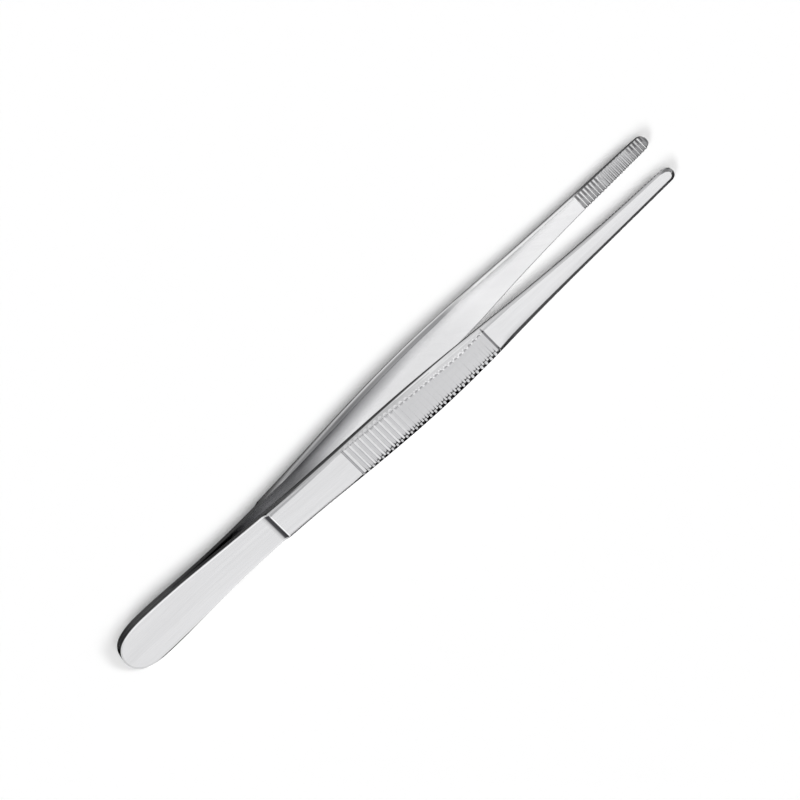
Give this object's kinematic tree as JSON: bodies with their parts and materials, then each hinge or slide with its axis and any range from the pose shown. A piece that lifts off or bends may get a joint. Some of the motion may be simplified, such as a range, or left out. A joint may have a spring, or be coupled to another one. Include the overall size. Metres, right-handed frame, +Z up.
{
  "type": "thumb forceps",
  "caption": "Dressing thumb forceps: spring arms welded at a rounded butt, stepped and fluted finger grips, tapering to straight cross-serrated jaws with blunt round tips.",
  "frame": {"origin": "on the surface that the forceps lies on, below the middle of its length and width", "axes": "+X from the welded butt to the jaw tips, +Y the way in which the jaws open, +Z up, across the width of the arms"},
  "size_m": [0.145, 0.0184, 0.0095],
  "materials": {
    "satin_steel": "satin-ground stainless steel, with a fine grain along the arms and softly worn edges"
  },
  "bodies": {
    "root": {"front_arm": "satin_steel", "rear_arm": "satin_steel"}
  },
  "joints": []
}
